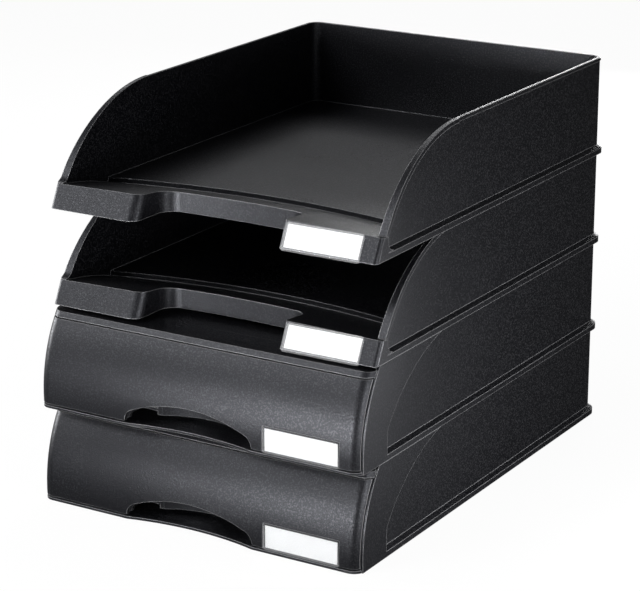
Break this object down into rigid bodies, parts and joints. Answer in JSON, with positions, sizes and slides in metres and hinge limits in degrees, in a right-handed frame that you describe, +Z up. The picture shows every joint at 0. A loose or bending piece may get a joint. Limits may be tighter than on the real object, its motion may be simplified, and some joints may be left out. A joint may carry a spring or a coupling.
{
  "type": "letter tray stack with drawers",
  "caption": "Desk organizer: open letter trays with curved side walls and a scooped front, stacked on drawer units whose bowed fronts have a finger opening and a label.",
  "frame": {"origin": "Centre of the bounding box's base, on the surface that the stack stands on", "axes": "+X to the right seen from the front, +Y from the drawer fronts to the rear, +Z up"},
  "size_m": [0.255, 0.36, 0.275],
  "materials": {
    "black_plastic": "fine-grained injection-moulded polystyrene",
    "clear_plastic": "clear and glossy",
    "white_card": "uncoated white card"
  },
  "bodies": {
    "lower_unit": {"lower_case": "black_plastic", "lower_case_cover": "black_plastic"},
    "lower_drawer": {"lower_drawer": "black_plastic", "lower_drawer_label_holder": "clear_plastic", "lower_drawer_label_card": "white_card"},
    "upper_unit": {"upper_case": "black_plastic", "upper_case_cover": "black_plastic"},
    "upper_drawer": {"upper_drawer": "black_plastic", "upper_drawer_label_holder": "clear_plastic", "upper_drawer_label_card": "white_card"},
    "lower_tray": {"lower_tray": "black_plastic", "lower_tray_label_holder": "clear_plastic", "lower_tray_label_card": "white_card"},
    "upper_tray": {"upper_tray": "black_plastic", "upper_tray_label_holder": "clear_plastic", "upper_tray_label_card": "white_card"}
  },
  "joints": [
    {"name": "lower_drawer_slide", "type": "slide", "parent": "lower_unit", "child": "lower_drawer", "axis": [0, -1, 0], "range_m": [0, 0.255]},
    {"name": "upper_unit_lift", "type": "slide", "parent": "lower_unit", "child": "upper_unit", "axis": [0, 0, 1], "range_m": [0, 0.08]},
    {"name": "upper_drawer_slide", "type": "slide", "parent": "upper_unit", "child": "upper_drawer", "axis": [0, -1, 0], "range_m": [0, 0.255]},
    {"name": "lower_tray_lift", "type": "slide", "parent": "upper_unit", "child": "lower_tray", "axis": [0, 0, 1], "range_m": [0, 0.08]},
    {"name": "upper_tray_lift", "type": "slide", "parent": "lower_tray", "child": "upper_tray", "axis": [0, 0, 1], "range_m": [0, 0.08]}
  ]
}
